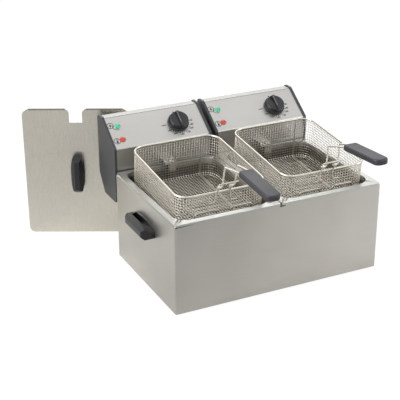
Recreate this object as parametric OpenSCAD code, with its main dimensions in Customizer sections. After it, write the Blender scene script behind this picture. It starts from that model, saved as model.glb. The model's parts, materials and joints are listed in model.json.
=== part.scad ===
// Countertop twin deep fryer. Two lift-out oil tanks hang in one sheet-steel casing. Behind each
// tank a lift-off control head carries the dial, the lamps and a heating element that dips into
// the tank over its rear rim. Two wire baskets hang tilted in the drain position, and one lid
// stands on edge behind the casing.
// Millimetres, +Z up, front towards -Y. The origin is on the floor under the middle of the whole.

/* [Casing] */
// Width of the casing
casing_w = 540; // [500:5:620]
// Depth of the casing, front to back
casing_d = 340; // [320:5:400]
// Height of the casing's side walls
casing_h = 217; // [205:1:260]
// Thickness of the casing's sheet
casing_sheet = 1.2; // [0.8:0.1:2]
// Radius of the casing's upright corners
casing_r = 4; // [3:0.5:10]
// Height of the rubber feet below the casing
foot_h = 3; // [2:0.5:12]
// Diameter of each foot
foot_d = 26; // [18:1:34]
// Distance of the feet from the side walls
foot_in_x = 17; // [17:1:40]
// Distance of the feet from the front and back walls
foot_in_y = 42; // [24:1:70]

/* [Tanks] */
// Width of the flange beside the tank's opening
flange_side = 13.5; // [12:0.5:18]
// Width of the flange in front of the opening
flange_front = 16.5; // [12:0.5:24]
// Width of the flange behind the opening
flange_rear = 10.5; // [9:0.5:14]
// Height of the flange's turned-down lip
flange_lip = 5; // [3:0.5:8]
// Gap between the two tanks' flanges
flange_gap = 3; // [2:0.5:6]
// Radius of the flange's outer corners
flange_r = 6; // [3:0.5:12]
// Depth of the tank from flange to floor
tank_depth = 175; // [160:1:190]
// Radius of the tank's upright corners
tank_r = 35; // [28:1:42]
// Radius where the tank's walls meet its floor
tank_floor_r = 20; // [8:1:25]
// Thickness of the tank's sheet
tank_sheet = 1; // [0.8:0.1:1.5]

/* [Control heads] */
// Gap between the two heads
head_gap = 12; // [8:1:20]
// Gap between the casing's rear wall and a head
head_stand_off = 3; // [2.5:0.1:6]
// Depth of a head
head_d = 109; // [104:1:130]
// How far a head reaches below the tank's rim
head_drop = 83; // [76:1:95]
// Height of the front wall's top edge above the tank's rim
head_front_rise = 59; // [54:1:70]
// Height of the sloping panel, foot to top
panel_rise = 57; // [50:1:66]
// Depth that the sloping panel covers
panel_run = 80; // [72:1:88]
// Radius of the end caps' corners
head_r = 8; // [5:0.5:11]
// Width of each moulded end cap
cap_t = 10; // [8:0.5:14]
// How far the end caps stand proud of the sheet
cap_lip = 2.5; // [1.5:0.1:4]
// Wall thickness of the end caps
cap_wall = 2.4; // [2:0.1:3.2]
// Thickness of the heads' sheet
head_sheet = 1; // [0.8:0.1:1.5]

/* [Dial and lamps] */
// Diameter of the dial's skirt
knob_d = 54; // [46:1:58]
// Height of the dial
knob_h = 20; // [16:1:26]
// Dial centre, from the head's left side
knob_x = 189; // [170:1:200]
// Dial centre, up the slope from the panel's foot
knob_s = 48; // [42:1:52]
// Flutes round the dial's skirt
knob_flutes = 24; // [16:1:32]
// Diameter of the dial's spindle
spindle_d = 6; // [5:0.5:8]
// Diameter of a lamp's lens
lamp_d = 15; // [12:0.5:18]
// Lamp centres, from the head's left side
lamp_x = 32; // [28:1:50]
// Upper lamp, up the slope
power_lamp_s = 67; // [58:1:74]
// Lower lamp, up the slope
heat_lamp_s = 26; // [18:1:36]

/* [Heating element] */
// Diameter of the element's tube
element_d = 6.5; // [6:0.1:8]
// Height of the element's plane above the tank's floor
element_rise = 24; // [18:1:34]
// Gap between the outer runs of the element and the tank's walls
element_gap = 30; // [26:1:45]
// Width of the channel that covers the element's legs
stem_w = 30; // [28:1:36]
// Thickness of that channel, front to back
stem_t = 12; // [12:0.5:15]
// Thickness of the channel's sheet
stem_sheet = 1; // [0.8:0.1:1.5]

/* [Baskets] */
// Gap between the basket's rim and the tank's side walls
basket_side_gap = 8; // [6:0.5:14]
// Gap between the rim and the tank's front wall
basket_front_gap = 10; // [8:1:20]
// Gap between the rim and the tank's rear wall
basket_rear_gap = 33; // [28:1:44]
// Depth of the basket
basket_h = 106; // [90:1:125]
// Radius of the basket's corners
basket_r = 33; // [28:1:40]
// Height of the front rim above the tank's rim, as it hangs
basket_lift = 48; // [40:1:60]
// Tilt of the basket as it hangs, rear end high
basket_tilt = 5.6; // [0:0.1:8]
// Diameter of the rim's wire
rim_d = 5; // [4:0.5:6]
// Diameter of the frame's wires
frame_d = 3.2; // [2.6:0.1:4]
// Width of the mesh's bars
mesh_bar = 2; // [1.5:0.1:3]
// Distance from bar to bar, as near as whole squares allow
mesh_pitch = 26; // [20:1:34]

/* [Basket handles] */
// Diameter of the handle's wires
handle_d = 4; // [3.5:0.1:5]
// Height of the wires above their eyes
handle_rise = 52; // [40:1:60]
// Length of bare wire between the upper bend and the grip
handle_reach = 64; // [50:1:80]
// Climb of that bare wire
handle_climb = 22; // [10:1:30]
// Climb of the grip
grip_climb = 9; // [0:1:15]
// Length of the grip
grip_l = 130; // [110:1:150]
// Width of the grip
grip_w = 35; // [32:1:40]
// Thickness of the grip
grip_t = 14; // [11:0.5:18]
// How far the left and right handles hang below that, in degrees
handle_droop = [8, 0];

/* [Carrying handles] */
// Length of a bow handle
bow_l = 118; // [100:1:140]
// Width of a bow handle
bow_w = 36; // [30:1:44]
// How far a bow handle stands out
bow_out = 30; // [26:1:40]
// Height of the side handles above the floor
bow_z = 157; // [120:1:165]

/* [Lid] */
// How far the lid overlaps the tank's opening at each side
lid_side = 15; // [12:0.5:17]
// How far the lid overlaps the opening at the front and the back
lid_end = 13.5; // [11:0.5:16]
// Thickness of the lid's sheet
lid_sheet = 1.2; // [0.8:0.1:2]
// Depth of the lid's folded edges
lid_fold = 8; // [5:0.5:12]
// Radius of the lid's corners
lid_r = 16; // [10:1:24]
// Width of the notch that clears the element's channel
notch_w = 33; // [32:1:44]
// Depth of that notch
notch_l = 35; // [30:1:44]
// Direction that the standing lid faces, in degrees from the front
lid_turn = 26; // [15:1:35]
// Distance of the lid's near end from the head's left side
lid_x = 85; // [60:1:130]
/* [Hidden] */
$fn = 48;

// Clearances
eps = 0.01;            // overlap that only makes a cut run clean through
sheet_gap = 0.2;       // between a sheet's cut-out and what passes through it
bay_gap = 1;           // between a tank and its cut-out in the casing
turn_gap = 0.05;       // radial gap of a turning spindle or a sliding pin
rest_gap = 0.3;        // between a curved piece and what it rests on
touch_gap = 0.1;       // between fixed round pieces that lie on each other

// Bent wires
bend_thin = 0.06;      // how much thinner a bend is than the rods
bend_seat = 0.2;       // how far the rods run into a bend

// Where the casing's middle stands, seen from under the middle of the whole object
casing_x = 64;
casing_y = -21;

// Levels and places that follow from the sizes above
casing_top = foot_h + casing_h;
rim_z = casing_top + flange_lip;
pitch = casing_w / 2;
tank_w = pitch - flange_gap - 2 * flange_side;
tank_l = casing_d - flange_front - flange_rear;
tank_y = (flange_front - flange_rear) / 2;
tank_back_y = tank_y + tank_l / 2;
tank_floor_z = rim_z - tank_depth;

head_w = pitch - head_gap / 2;
head_front = casing_d / 2 + head_stand_off;
head_back = head_front + head_d;
head_bottom = rim_z - head_drop;
panel_z = rim_z + head_front_rise;
head_top = panel_z + panel_rise;
panel_slope = atan2(panel_rise, panel_run);
chamfer_rise = 47;
chamfer_run = 34;
head_points = [
    [head_front, head_bottom], [head_back - chamfer_run, head_bottom],
    [head_back, head_bottom + chamfer_rise], [head_back, head_top],
    [head_front + panel_run, head_top], [head_front, panel_z]
];
skin_in = cap_lip + head_sheet;

stem_top = rim_z + 17;
stem_under = rim_z + 2;
stem_y = tank_back_y - tank_sheet - 2 - stem_t;
stem_r = 6;
stem_foot = tank_floor_z + element_rise + 13;
leg_x = 9;
leg_y = stem_y + stem_t / 2;
leg_z = (stem_top + stem_under) / 2;
element_z = tank_floor_z + element_rise;
element_r = 12;

basket_w = tank_w - 2 * basket_side_gap;
basket_l = (tank_l - basket_front_gap - basket_rear_gap) / cos(basket_tilt);
basket_y = tank_y - tank_l / 2 + basket_front_gap;
basket_z = rim_z + basket_lift;
runner_x = 77;
runner_out = mesh_bar / 2 + frame_d / 2 - 0.2;
eye_x = [-20, 11];
riser_x = [-11, 20];
pivot_y = -9.5;
pivot_z = 16.5;
eye_d = frame_d + 0.5;
eye_r = handle_d / 2 + eye_d / 2 + 0.4;

lid_w = tank_w + 2 * lid_side;
lid_l = tank_l + 2 * lid_end;

steel_light = "#C9C7C1";
steel_side = "#BEBDB5";
steel_dark = "#A8A59D";
wire_steel = "#D5D1C6";
cap_grey = "#505254";
black = "#232428";
grip_grey = "#5D6067";

function unit(v) = v / norm(v);

// One corner of an outline, rounded in n steps
function round_corner(a, b, c, r, n) =
    let (
        u = unit(a - b),
        v = unit(c - b),
        half = acos(u * v) / 2,
        centre = b + unit(u + v) * r / sin(half),
        p = b + u * r / tan(half) - centre,
        q = b + v * r / tan(half) - centre,
        turn = atan2(p.x * q.y - p.y * q.x, p * q)
    )
    [for (i = [0:n]) centre + [
        p.x * cos(turn * i / n) - p.y * sin(turn * i / n),
        p.x * sin(turn * i / n) + p.y * cos(turn * i / n)
    ]];

// An outline whose corners have the radii in r, a radius of 0 leaving the corner sharp
function rounded(points, r, n = 6) =
    let (last = len(points) - 1)
    [for (i = [0:last]) each (r[i] == 0 ? [points[i]] :
        round_corner(points[i == 0 ? last : i - 1], points[i], points[i == last ? 0 : i + 1], r[i], n))];

// A convex outline, drawn anticlockwise, moved in by d on every side
function inset(points, d) =
    let (last = len(points) - 1)
    [for (i = [0:last])
        let (
            e = unit(points[i] - points[i == 0 ? last : i - 1]),
            f = unit(points[i == last ? 0 : i + 1] - points[i]),
            m = [-e.y, e.x],
            n = [-f.y, f.x]
        )
        points[i] + (m + n) * d / (1 + m * n)];

// A head's outline seen from the side, moved in by d
function head_outline(d) =
    let (r = max(head_r - d, 0.8))
    rounded(inset(head_points, d), [for (p = head_points) r]);

module rounded_rect(w, l, r) {
    square([w - 2 * r, l], center = true);
    square([w, l - 2 * r], center = true);
    for (x = [-1, 1], y = [-1, 1])
        translate([x * (w / 2 - r), y * (l / 2 - r)]) circle(r);
}

module rounded_block(w, l, h, r) {
    linear_extrude(h) rounded_rect(w, l, r);
}

// The solid that fills a pan, its floor at 0: upright corners of radius r, and the radius f where
// the walls meet the floor
module pan_filling(w, l, h, r, f) {
    module section(half) {
        translate([f - half, 0]) square([2 * half - 2 * f, h]);
        translate([-half, f]) square([2 * half, h - f]);
        for (x = [-1, 1])
            translate([x * (half - f), f]) circle(f);
    }
    intersection() {
        rounded_block(w, l, h, r);
        rotate([90, 0, 0]) linear_extrude(l + 2, center = true) section(w / 2 + eps);
        rotate([90, 0, 90]) linear_extrude(w + 2, center = true) section(l / 2 + eps);
    }
}

// A straight piece of wire from a to b
module rod(a, b, d) {
    run = b - a;
    translate(a) rotate([0, acos(run.z / norm(run)), atan2(run.y, run.x)])
        cylinder(d = d, h = norm(run));
}

// How far from its corner a bend of radius r starts
function bend_reach(a, b, c, r) = r * tan(acos(unit(b - a) * unit(c - b)) / 2);

// The bent piece of wire at corner b, a hair thinner than the rods that run into it
module bend(a, b, c, d, r) {
    u = unit(b - a);
    axis = unit(cross(u, unit(c - b)));
    out = -cross(axis, u);
    centre = b - u * bend_reach(a, b, c, r) - out * r;
    multmatrix([
        [out.x, u.x, axis.x, centre.x],
        [out.y, u.y, axis.y, centre.y],
        [out.z, u.z, axis.z, centre.z],
        [0, 0, 0, 1]
    ])
        rotate_extrude(angle = acos(u * unit(c - b))) translate([r, 0]) circle(d = d - bend_thin);
}

// A wire of diameter d along points, with bends of radius r
module wire(points, d, r) {
    last = len(points) - 1;
    for (i = [0:last - 1]) {
        u = unit(points[i + 1] - points[i]);
        start = i == 0 ? 0 : bend_reach(points[i - 1], points[i], points[i + 1], r) - bend_seat;
        end = i == last - 1 ? 0 : bend_reach(points[i], points[i + 1], points[i + 2], r) - bend_seat;
        rod(points[i] + u * start, points[i + 1] - u * end, d);
    }
    for (i = [1:1:last - 1])
        bend(points[i - 1], points[i], points[i + 1], d, r);
}

// Places: the origin, a tank's centre, a head's left side, and the sloping panel's foot
module place() {
    translate([casing_x, casing_y, 0]) children();
}

module at_tank(side) {
    translate([side * pitch / 2, 0, 0]) children();
}

module at_head(side) {
    translate([side < 0 ? -pitch : head_gap / 2, 0, 0]) children();
}

module on_panel(x, s) {
    translate([x, head_front, panel_z]) rotate([panel_slope, 0, 0]) translate([0, s, -cap_lip]) children();
}

// The channel's middle, seen from a head's left side
function stem_x(side) = side < 0 ? pitch / 2 : pitch / 2 - head_gap / 2;

// A head's own frame is drawn from its left side, so a piece of outline runs along X
module head_slice(x, w, d) {
    translate([x, 0, 0]) rotate([90, 0, 90]) linear_extrude(w) polygon(head_outline(d));
}

// ---- Casing ----

module casing() {
    inside_w = casing_w - 2 * casing_sheet;
    inside_d = casing_d - 2 * casing_sheet;
    color(steel_side) difference() {
        translate([0, 0, foot_h]) rounded_block(casing_w, casing_d, casing_h, casing_r);
        translate([0, 0, foot_h - 1])
            rounded_block(inside_w, inside_d, casing_h - casing_sheet + 1, casing_r - casing_sheet);
        for (side = [-1, 1]) {
            at_tank(side) translate([0, tank_y, casing_top - 5])
                rounded_block(tank_w + 2 * tank_sheet + 2 * bay_gap, tank_l + 2 * tank_sheet + 2 * bay_gap,
                    10, tank_r + tank_sheet + bay_gap);
            for (y = [-1, 1])
                translate([side * casing_w / 2, y * bow_screw_y, bow_z]) rotate([0, 90, 0])
                    cylinder(d = screw_d + 2 * sheet_gap, h = 4 * casing_sheet, center = true);
        }
    }
}

vent_w = 5;
vent_l = 60;

module base_plate() {
    edge = 2 * casing_sheet;
    color(steel_dark) difference() {
        translate([0, 0, foot_h]) rounded_block(casing_w - edge, casing_d - edge, casing_sheet,
            casing_r - casing_sheet);
        for (x = [-1, 1], y = [-1, 1])
            at_foot(x, y) translate([0, 0, -eps]) cylinder(d = screw_d, h = 30);
        for (side = [-1, 1], i = [-4:4])
            translate([side * pitch / 2 + i * 3 * vent_w, 0, foot_h + casing_sheet / 2])
                cube([vent_w, vent_l, 3 * casing_sheet], center = true);
    }
}

screw_d = 4;
foot_taper = 2;

module at_foot(x, y) {
    translate([x * (casing_w / 2 - foot_in_x), y * (casing_d / 2 - foot_in_y), 0]) children();
}

module feet() {
    color(black) for (x = [-1, 1], y = [-1, 1])
        at_foot(x, y) difference() {
            cylinder(d1 = foot_d - foot_taper, d2 = foot_d, h = foot_h);
            translate([0, 0, -eps]) cylinder(d = screw_d, h = foot_h + 1);
            translate([0, 0, -eps]) cylinder(d = 2 * screw_d + 1, h = foot_h / 2 + eps);
        }
}

module foot_screws() {
    color(steel_light) for (x = [-1, 1], y = [-1, 1])
        at_foot(x, y) {
            translate([0, 0, foot_h / 2 - 1]) cylinder(d = 2 * screw_d, h = 1);
            translate([0, 0, foot_h / 2]) cylinder(d = screw_d - touch_gap, h = foot_h / 2 + 6);
        }
}

bracket_w = 160;
bracket_t = 1.5;
bracket_h = 60;
tongue_w = 20;
tongue_x = 60;
tongue_y = head_front + cap_lip + head_r + 3;
tongue_h = 16;
shelf_z = head_bottom + cap_lip;

// Each head stands on a shelf behind the casing. Two tongues turned up from the shelf hold it,
// and one of them works the micro switch.
module head_brackets() {
    back = casing_d / 2;
    color(steel_dark) for (side = [-1, 1])
        at_head(side) translate([head_w / 2 - bracket_w / 2, 0, 0]) {
            translate([0, back, shelf_z - bracket_t]) {
                cube([bracket_w, bracket_t, bracket_h]);
                cube([bracket_w, tongue_y + bracket_t - back, bracket_t]);
            }
            for (x = [-1, 1])
                translate([bracket_w / 2 + x * tongue_x - tongue_w / 2, tongue_y, shelf_z - bracket_t])
                    cube([tongue_w, bracket_t, tongue_h + bracket_t]);
        }
}

// ---- Bow handles ----

bow_screw_y = bow_l / 2 - 10;
bow_foot = 18;
bow_bar = 13;

// The moulding that the sides and the lid share: length along X, standing out along +Z
module bow_handle() {
    half = bow_l / 2;
    gap_half = half - bow_foot;
    bulge_r = 350;
    side_view = [
        [half, 0], [half, bow_out * 0.3], [half - 15, bow_out], [15 - half, bow_out],
        [-half, bow_out * 0.3], [-half, 0], [-gap_half, 0], [8 - gap_half, bow_out - bow_bar],
        [gap_half - 8, bow_out - bow_bar], [gap_half, 0]
    ];
    end_view = [
        [-bow_w / 2, 0], [bow_w / 2, 0], [bow_w / 2, bow_out * 0.62], [bow_w * 0.2, bow_out],
        [-bow_w * 0.2, bow_out], [-bow_w / 2, bow_out * 0.62]
    ];
    difference() {
        intersection() {
            rotate([90, 0, 0]) linear_extrude(bow_w + 2, center = true)
                polygon(rounded(side_view, [0, 4, 8, 8, 4, 0, 0, 5, 5, 0]));
            rotate([90, 0, 90]) linear_extrude(bow_l + 2, center = true)
                polygon(rounded(end_view, [0, 0, 4, 4, 4, 4]));
            linear_extrude(bow_out + 1) rounded_rect(bow_l, bow_w, 12);
            linear_extrude(bow_out + 1) intersection_for (y = [-1, 1])
                translate([0, y * (bow_w / 2 - bulge_r)]) circle(bulge_r, $fn = 180);
        }
        for (x = [-1, 1])
            translate([x * bow_screw_y, 0, -eps]) cylinder(d = screw_d, h = 10);
    }
}

module side_handle(side) {
    color(black) translate([side * casing_w / 2, 0, bow_z]) rotate([90, 0, side * 90]) bow_handle();
}

module side_handle_screws() {
    color(steel_light) for (side = [-1, 1], y = [-1, 1])
        translate([side * casing_w / 2, y * bow_screw_y, bow_z])
            rotate([0, side * 90, 0]) bow_screw(casing_sheet);
}

// A screw driven outwards through a sheet into a bow handle's foot
module bow_screw(sheet) {
    translate([0, 0, -sheet - 2]) cylinder(d = 2 * screw_d, h = 2);
    translate([0, 0, -sheet]) cylinder(d = screw_d - touch_gap, h = sheet + 9);
}

// ---- Tanks ----

module tank() {
    flange_w = pitch - flange_gap;
    color(steel_light) difference() {
        union() {
            translate([0, tank_y, tank_floor_z - tank_sheet])
                pan_filling(tank_w + 2 * tank_sheet, tank_l + 2 * tank_sheet, tank_depth,
                    tank_r + tank_sheet, tank_floor_r + tank_sheet);
            difference() {
                translate([0, 0, casing_top]) rounded_block(flange_w, casing_d, flange_lip, flange_r);
                translate([0, 0, casing_top - 1])
                    rounded_block(flange_w - 2 * tank_sheet, casing_d - 2 * tank_sheet,
                        flange_lip + 1 - tank_sheet, flange_r - tank_sheet);
            }
        }
        translate([0, tank_y, tank_floor_z])
            pan_filling(tank_w, tank_l, tank_depth + 5, tank_r, tank_floor_r);
    }
}

// ---- Control heads ----

vent_slots = 9;
gland_in = 50;
reset_x = 58;
service_z = rim_z - 8;

// The sheet that shows: front wall, sloping panel and top, folded from one piece
module cover_region() {
    split = head_top - 16;
    rotate([90, 0, 90]) linear_extrude(head_w) polygon([
        [head_front - 5, head_bottom - 5], [head_front + head_r + 0.5, head_bottom - 5],
        [head_front + head_r + 0.5, panel_z - 6], [head_back - 22, split],
        [head_back + 5, split], [head_back + 5, head_top + 5], [head_front - 5, head_top + 5]
    ]);
}

module head_shell() {
    difference() {
        head_slice(cap_t, head_w - 2 * cap_t, cap_lip);
        head_slice(0, head_w, skin_in);
    }
}

module head_cover(side) {
    color(steel_light) difference() {
        intersection() {
            head_shell();
            cover_region();
        }
        on_panel(knob_x, knob_s) cylinder(d = neck_d + 2 * sheet_gap, h = 10, center = true);
        for (s = [power_lamp_s, heat_lamp_s])
            on_panel(lamp_x, s) cylinder(d = lamp_d - 3 + 2 * sheet_gap, h = 10, center = true);
        translate([stem_x(side) - stem_w / 2 - sheet_gap, head_front, stem_under - sheet_gap])
            cube([stem_w + 2 * sheet_gap, 10, stem_top - stem_under + 2 * sheet_gap]);
    }
}

module head_back() {
    color(steel_dark) difference() {
        head_shell();
        cover_region();
        for (x = [-1, 1])
            translate([head_w / 2 + x * tongue_x - tongue_w / 2 - 1, tongue_y - 1, head_bottom])
                cube([tongue_w + 2, bracket_t + 2, 8]);
        for (i = [0:vent_slots - 1])
            translate([head_w / 2 + (i - (vent_slots - 1) / 2) * 9 - 2, head_back - 8, rim_z + 45])
                cube([4, 10, 30]);
        translate([head_w - gland_in, head_back, service_z]) rotate([90, 0, 0])
            cylinder(d = gland_neck + 2 * sheet_gap, h = 20, center = true);
        translate([reset_x, head_back, service_z]) rotate([90, 0, 0])
            cylinder(d = reset_neck + 2 * sheet_gap, h = 20, center = true);
        for (x = [-1, 1], z = [0, 1])
            at_head_screw(x, z) rotate([90, 0, 0]) cylinder(d = head_screw_d, h = 20, center = true);
    }
}

head_screw_d = 3;

module at_head_screw(x, z) {
    translate([head_w / 2 + x * (head_w / 2 - cap_t - 3), head_back - cap_lip,
        z == 0 ? head_bottom + chamfer_rise + 12 : head_top - 24]) children();
}

// A moulded end cap: an open shell with a spigot that the sheets are wrapped round
module head_cap() {
    spigot = 6;
    color(cap_grey) difference() {
        union() {
            head_slice(0, cap_t, 0);
            head_slice(cap_t - eps, spigot + eps, skin_in);
        }
        head_slice(cap_wall, cap_t + spigot, skin_in + cap_wall);
        for (z = [0, 1])
            at_head_screw(-1, z) rotate([90, 0, 0]) cylinder(d = head_screw_d, h = 30, center = true);
    }
}

module head_cap_b() {
    translate([head_w, 0, 0]) mirror([1, 0, 0]) head_cap();
}

module head_screws() {
    color(steel_light) for (x = [-1, 1], z = [0, 1])
        at_head_screw(x, z) rotate([-90, 0, 0]) {
            cylinder(d = 2 * head_screw_d, h = 1.6);
            translate([0, 0, -6]) cylinder(d = head_screw_d - touch_gap, h = 6);
        }
}

knob_lift = 1.2;
knob_skirt = 6;
knob_cap_d = knob_d - 8;

module knob() {
    flute_d = 4;
    bar_w = 7;
    color(black) on_panel(knob_x, knob_s) translate([0, 0, knob_lift]) difference() {
        union() {
            difference() {
                cylinder(d = knob_d, h = knob_skirt);
                for (i = [0:knob_flutes - 1])
                    rotate([0, 0, i * 360 / knob_flutes]) translate([knob_d / 2 + 0.8, 0, -1])
                        cylinder(d = flute_d, h = knob_skirt + 2, $fn = 24);
            }
            cylinder(d1 = knob_d - 5, d2 = knob_cap_d, h = knob_h - 4);
            intersection() {
                cylinder(d = knob_cap_d - 1, h = knob_h);
                translate([-bar_w / 2, -knob_d / 2, knob_h - 5]) cube([bar_w, knob_d, 5]);
            }
        }
        difference() {
            translate([0, 0, -1]) cylinder(d = knob_cap_d - 6, h = knob_h - 6);
            cylinder(d = 2 * spindle_d, h = knob_h);
        }
        translate([0, 0, -1]) cylinder(d = spindle_d + 2 * turn_gap, h = knob_h - 4);
    }
}

neck_d = 10;
neck_l = 6;
thermostat_t = 24;
spindle_in = 14;

module spindle() {
    color(steel_light) on_panel(knob_x, knob_s) translate([0, 0, -spindle_in])
        cylinder(d = spindle_d, h = spindle_in + knob_lift + knob_h - 6);
}

module thermostat() {
    body = 36;
    color(steel_dark) on_panel(knob_x, knob_s) difference() {
        union() {
            translate([-body / 2, -body / 2, -head_sheet - thermostat_t]) cube([body, body, thermostat_t]);
            translate([0, 0, -head_sheet - eps]) cylinder(d = neck_d, h = head_sheet + 0.8);
            for (x = [-1, 1])
                translate([x * body / 4 - 3, body / 2 - 9, -head_sheet - thermostat_t - 7]) cube([6, 1, 8]);
        }
        translate([0, 0, -spindle_in - turn_gap]) cylinder(d = spindle_d + 2 * turn_gap, h = 40);
    }
}

module lamp(s, tint) {
    bezel = 1.2;
    dome = 2.6;
    round_r = (pow(lamp_d / 2, 2) + pow(dome, 2)) / (2 * dome);
    color(tint) on_panel(lamp_x, s) {
        cylinder(d = lamp_d, h = bezel);
        intersection() {
            translate([0, 0, bezel + dome - round_r]) sphere(round_r);
            translate([0, 0, bezel - eps]) cylinder(d = lamp_d - 1, h = dome + 1);
        }
        translate([0, 0, -20]) cylinder(d = lamp_d - 3, h = 20 + eps);
    }
}

// ---- Heating element ----

// The tube comes out of the head, over the rim, down behind its channel and round the floor
function element_path() =
    let (
        out_x = tank_w / 2 - element_gap,
        in_x = out_x / 3,
        front = tank_y - tank_l / 2 + element_gap,
        back = leg_y - 26,
        turn_y = leg_y - 60,
        half = [
            [leg_x, head_front + 20, leg_z], [leg_x, leg_y, leg_z], [leg_x, leg_y, element_z],
            [leg_x, back, element_z], [out_x, back, element_z], [out_x, front, element_z],
            [in_x, front, element_z], [in_x, turn_y, element_z]
        ]
    )
    concat(half, [for (i = [len(half) - 1:-1:0]) [-half[i].x, half[i].y, half[i].z]]);

module element() {
    leg_bend = stem_t / 2 - 1;
    path = element_path();
    color("#7C746A") wire(path, element_d, leg_bend);
}

stem_return = 4;
stem_end = head_front + 12;
leg_plate_t = 2;

// A folded channel over the tank's rear rim that hides the legs of the element. Its sides are only
// narrow returns, and its end inside the head is a plate that holds the legs.
module element_stem() {
    outline = [
        [stem_end, stem_under], [stem_end, stem_top], [stem_y, stem_top],
        [stem_y, stem_foot], [stem_y + stem_t, stem_foot], [stem_y + stem_t, stem_under]
    ];
    hollow = [
        [stem_end + 1, stem_under - 1], [stem_end + 1, stem_top - stem_sheet],
        [stem_y + stem_sheet, stem_top - stem_sheet], [stem_y + stem_sheet, stem_foot - 1],
        [stem_y + stem_t + 1, stem_foot - 1], [stem_y + stem_t + 1, stem_under - 1]
    ];
    open_side = [
        [stem_end + 1, stem_under - 1], [stem_end + 1, stem_top - stem_return],
        [stem_y + stem_return, stem_top - stem_return], [stem_y + stem_return, stem_foot - 1],
        [stem_y + stem_t + 1, stem_foot - 1], [stem_y + stem_t + 1, stem_under - 1]
    ];
    color(steel_light) {
        difference() {
            translate([-stem_w / 2, 0, 0]) rotate([90, 0, 90]) linear_extrude(stem_w)
                polygon(rounded(outline, [0, 0, stem_r, 0, 0, 0]));
            translate([stem_sheet - stem_w / 2, 0, 0])
                rotate([90, 0, 90]) linear_extrude(stem_w - 2 * stem_sheet)
                    polygon(rounded(hollow, [0, 0, stem_r - stem_sheet, 0, 0, 0]));
            translate([-stem_w / 2 - 1, 0, 0]) rotate([90, 0, 90]) linear_extrude(stem_w + 2)
                polygon(open_side);
        }
        difference() {
            translate([-stem_w / 2, stem_end - leg_plate_t, stem_under])
                cube([stem_w, leg_plate_t, stem_top - stem_under]);
            for (x = [-leg_x, leg_x])
                translate([x, stem_end, leg_z]) rotate([90, 0, 0])
                    cylinder(d = element_d + 2 * touch_gap, h = 3 * leg_plate_t, center = true);
            translate([0, stem_end, leg_z]) rotate([90, 0, 0])
                cylinder(d = capillary_d + 2 * touch_gap, h = 3 * leg_plate_t, center = true);
        }
    }
}

strap_t = 1.5;
strap_w = 12;
bulb_d = 6;
bulb_l = 90;
strap_z = element_z + element_d / 2 + touch_gap;
bulb_z = strap_z + strap_t + bulb_d / 2 + touch_gap;
bulb_y = 20;

// Two straps lie across the runs of the element and carry saddles for the sensor's bulb
module element_brace() {
    half = tank_w / 2 - element_gap + element_d / 2;
    saddle_d = bulb_d + 2 * touch_gap + 2;
    color(steel_dark) for (y = [-1, 1])
        translate([0, bulb_y + y * bulb_l / 3, 0]) {
            translate([-half, -strap_w / 2, strap_z]) cube([2 * half, strap_w, strap_t]);
            difference() {
                translate([0, strap_w / 2, bulb_z]) rotate([90, 0, 0])
                    cylinder(d = saddle_d, h = strap_w);
                translate([0, strap_w, bulb_z]) rotate([90, 0, 0])
                    cylinder(d = bulb_d + 2 * touch_gap, h = 2 * strap_w);
                translate([-saddle_d, -strap_w, strap_z - saddle_d])
                    cube([2 * saddle_d, 2 * strap_w, saddle_d + strap_t / 2]);
            }
        }
}

capillary_d = 2;

module sensor() {
    color(steel_light) {
        translate([0, bulb_y + bulb_l / 2, bulb_z]) rotate([90, 0, 0]) cylinder(d = bulb_d, h = bulb_l);
        wire([
            [0, head_front + 20, leg_z], [0, leg_y, leg_z], [0, leg_y, bulb_z],
            [0, bulb_y + bulb_l / 2 - 1, bulb_z]
        ], capillary_d, 4);
    }
}

// ---- Inside and behind a head ----

reset_neck = 10;
reset_pin = 5;
reset_out = 3;
reset_travel = 2;
reset_collar = 4;

module at_reset() {
    translate([reset_x, head_back - cap_lip, service_z]) rotate([-90, 0, 0]) children();
}

module cutout() {
    color(black) at_reset() difference() {
        union() {
            translate([0, 0, -head_sheet - 22]) cylinder(d = 30, h = 22);
            translate([0, 0, -head_sheet - eps]) cylinder(d = reset_neck, h = head_sheet + reset_collar);
            cylinder(d = 16, h = reset_collar);
        }
        translate([0, 0, -head_sheet - 10]) cylinder(d = reset_pin + 2 * turn_gap, h = 40);
    }
}

module reset_button() {
    color("#B4352C") at_reset() translate([0, 0, -head_sheet - 10 + reset_travel + turn_gap])
        cylinder(d = reset_pin, h = head_sheet + 8 - turn_gap + reset_collar + reset_out);
}

module micro_switch() {
    body = [28, 12, 16];
    plunger_h = 2;
    at = [head_w / 2 - tongue_x, tongue_y + bracket_t / 2, shelf_z + tongue_h + rest_gap];
    color(black) translate(at) {
        translate([-body.x / 2, head_front + skin_in - at.y, plunger_h]) cube(body);
        cylinder(d = 4, h = plunger_h + eps);
    }
}

module terminals() {
    poles = 5;
    pole_w = 9;
    from_cap = 150;
    from_front = 52;
    floor_z = head_bottom + skin_in;
    color("#D9D5C8") translate([from_cap, head_front + from_front, floor_z]) difference() {
        cube([poles * pole_w, 20, 15]);
        for (i = [0:poles - 1])
            translate([(i + 0.5) * pole_w, 10, 8]) cylinder(d = 5, h = 10);
        for (i = [1:poles - 1])
            translate([i * pole_w - 0.75, -1, 9]) cube([1.5, 22, 10]);
    }
}

gland_neck = 16;
gland_bore = 8.4;
gland_out = 16;

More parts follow.
